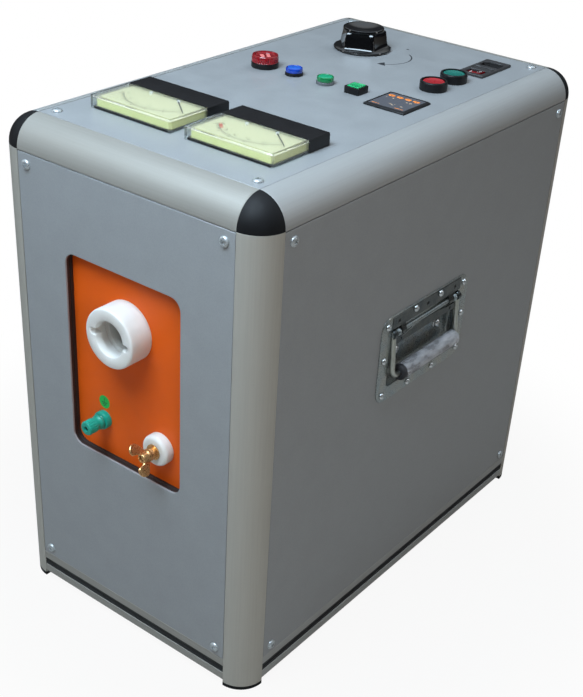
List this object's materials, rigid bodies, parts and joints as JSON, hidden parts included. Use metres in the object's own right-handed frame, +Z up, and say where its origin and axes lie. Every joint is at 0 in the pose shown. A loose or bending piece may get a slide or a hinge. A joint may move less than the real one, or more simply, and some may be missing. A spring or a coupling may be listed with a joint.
{
  "type": "cable tester",
  "caption": "High-voltage cable tester in an aluminium-profile cabinet: recessed output bay in front, panel meters, lamps, buttons, timer, inlet and knob on top, spring handles at the sides.",
  "frame": {"origin": "centre of the whole outline, on the floor", "axes": "+Z up, -Y out of the front with the output bay, +X to the right seen from the front"},
  "size_m": [0.3466, 0.5748, 0.556],
  "materials": {
    "profile": "anodised, satin",
    "panel_paint": "fine-textured powder coat",
    "black_plastic": "matt",
    "slot_rubber": "matt",
    "plated_steel": "zinc plated",
    "board_orange": "glossy laminate",
    "white_plastic": "satin",
    "brass": "slightly dull",
    "earth_green": "glossy",
    "nickel": "nickel plated",
    "grip_rubber": "soft rubber",
    "meter_clear": "clear, polished",
    "dial_paint": "satin",
    "pointer_black": "matt",
    "magnet": "plain",
    "red_lens": "clear red",
    "blue_lens": "clear blue",
    "green_lens": "clear green",
    "grey_collar": "satin",
    "green_cap": "glossy",
    "red_cap": "glossy",
    "grey_plastic": "matt",
    "timer_window": "glossy",
    "rocker_red": "glossy, translucent",
    "knob_black": "satin",
    "copper": "varnished winding",
    "core_iron": "laminated",
    "potting": "cast resin",
    "board_green": "solder mask"
  },
  "bodies": {
    "cabinet": {"frame_profiles": "profile", "bottom_rails": "profile", "slot_strips": "slot_rubber", "frame_caps": "black_plastic", "top_panel": "panel_paint", "front_panel": "panel_paint", "rear_panel": "panel_paint", "side_panels": "panel_paint", "floor_tray": "panel_paint", "panel_fasteners": "plated_steel", "window_spacer": "black_plastic", "insulating_board": "board_orange", "hv_bush": "white_plastic", "hv_bush_nut": "white_plastic", "hv_contact": "brass", "earth_post_collar": "earth_green", "earth_post_stem": "nickel", "stud_insulator": "white_plastic", "return_stud": "brass", "right_handle_dish": "plated_steel", "left_handle_dish": "plated_steel", "handle_hinges": "plated_steel", "meter_housings": "black_plastic", "meter_covers": "meter_clear", "meter_dials": "dial_paint", "meter_magnets": "magnet", "lamp_bodies": "black_plastic", "beacon_lens": "red_lens", "blue_lens": "blue_lens", "green_lamp_collar": "grey_collar", "green_lens": "green_lens", "button_bezels": "black_plastic", "contact_blocks": "grey_plastic", "timer_case": "black_plastic", "timer_face": "timer_window", "inlet_housing": "black_plastic", "inlet_pins": "nickel", "variac_core": "copper", "hv_transformer_core": "core_iron", "hv_block": "potting", "control_board": "board_green"},
    "post_ring": {"earth_post_ring": "nickel"},
    "post_head": {"earth_post_head": "earth_green"},
    "return_washer": {"wing_washer": "brass"},
    "return_nut": {"wing_nut": "brass"},
    "right_handle": {"right_bail": "plated_steel", "right_grip": "grip_rubber"},
    "left_handle": {"left_bail": "plated_steel", "left_grip": "grip_rubber"},
    "output_needle": {"output_pointer": "pointer_black"},
    "leakage_needle": {"leakage_pointer": "pointer_black"},
    "output_zero": {"output_zero_screw": "black_plastic"},
    "leakage_zero": {"leakage_zero_screw": "black_plastic"},
    "square_key": {"square_key_cap": "green_cap"},
    "red_push": {"red_button": "red_cap"},
    "green_push": {"green_button": "green_cap"},
    "rocker": {"rocker_switch": "rocker_red"},
    "drawer": {"fuse_drawer": "black_plastic"},
    "knob": {"voltage_knob": "knob_black", "variac_rotor": "plated_steel"}
  },
  "joints": [
    {"name": "post_ring_slide", "type": "slide", "parent": "cabinet", "child": "post_ring", "axis": [0, -1, 0], "range_m": [0, 0.005]},
    {"name": "post_head_turn", "type": "hinge", "parent": "post_ring", "child": "post_head", "pos_m": [-0.038, -0.26115, 0.2465], "axis": [0, -1, 0], "range_deg": [0, 1801]},
    {"name": "return_washer_slide", "type": "slide", "parent": "cabinet", "child": "return_washer", "axis": [0, -1, 0], "range_m": [0, 0.006]},
    {"name": "return_nut_turn", "type": "hinge", "parent": "return_washer", "child": "return_nut", "pos_m": [0.038, -0.26115, 0.2465], "axis": [0, -1, 0], "range_deg": [0, 2161]},
    {"name": "right_handle_hinge", "type": "hinge", "parent": "cabinet", "child": "right_handle", "pos_m": [0.1612, 0.00985, 0.3365], "axis": [0, -1, 0], "range_deg": [0, 84], "stiffness_Nm_per_rad": 0.25, "springref_deg": -34.38},
    {"name": "left_handle_hinge", "type": "hinge", "parent": "cabinet", "child": "left_handle", "pos_m": [-0.1612, 0.00985, 0.3365], "axis": [0, 1, 0], "range_deg": [0, 84], "stiffness_Nm_per_rad": 0.25, "springref_deg": -34.38},
    {"name": "output_needle_swing", "type": "hinge", "parent": "cabinet", "child": "output_needle", "pos_m": [0.0601, -0.12915, 0.5417], "axis": [0, 0, -1], "range_deg": [0, 100], "stiffness_Nm_per_rad": 0.0005, "springref_deg": -11.46},
    {"name": "leakage_needle_swing", "type": "hinge", "parent": "cabinet", "child": "leakage_needle", "pos_m": [-0.0571, -0.12915, 0.5417], "axis": [0, 0, -1], "range_deg": [0, 100], "stiffness_Nm_per_rad": 0.0005, "springref_deg": -11.46},
    {"name": "output_zero_turn", "type": "hinge", "parent": "cabinet", "child": "output_zero", "pos_m": [0.0601, -0.12215, 0.5436], "axis": [0, 0, 1], "range_deg": [-40, 40]},
    {"name": "leakage_zero_turn", "type": "hinge", "parent": "cabinet", "child": "leakage_zero", "pos_m": [-0.0571, -0.12215, 0.5436], "axis": [0, 0, 1], "range_deg": [-40, 40]},
    {"name": "square_key_press", "type": "slide", "parent": "cabinet", "child": "square_key", "axis": [0, 0, -1], "range_m": [0, 0.0025], "stiffness_N_per_m": 400, "springref_m": -0.002},
    {"name": "red_push_press", "type": "slide", "parent": "cabinet", "child": "red_push", "axis": [0, 0, -1], "range_m": [0, 0.0035], "stiffness_N_per_m": 500, "springref_m": -0.002},
    {"name": "green_push_press", "type": "slide", "parent": "cabinet", "child": "green_push", "axis": [0, 0, -1], "range_m": [0, 0.0035], "stiffness_N_per_m": 500, "springref_m": -0.002},
    {"name": "rocker_tilt", "type": "hinge", "parent": "cabinet", "child": "rocker", "pos_m": [0.0883, 0.17985, 0.5278], "axis": [0, 1, 0], "range_deg": [0, 18]},
    {"name": "fuse_drawer_slide", "type": "slide", "parent": "cabinet", "child": "drawer", "axis": [0, 0, 1], "range_m": [0, 0.022]},
    {"name": "knob_turn", "type": "hinge", "parent": "cabinet", "child": "knob", "pos_m": [-0.0478, 0.16405, 0.532], "axis": [0, 0, -1], "range_deg": [0, 320]}
  ],
  "couplings": [
    {"joint": "post_head_turn", "follows": "post_ring_slide", "rad_per_m": 6283.2},
    {"joint": "return_nut_turn", "follows": "return_washer_slide", "rad_per_m": 6283.2}
  ]
}
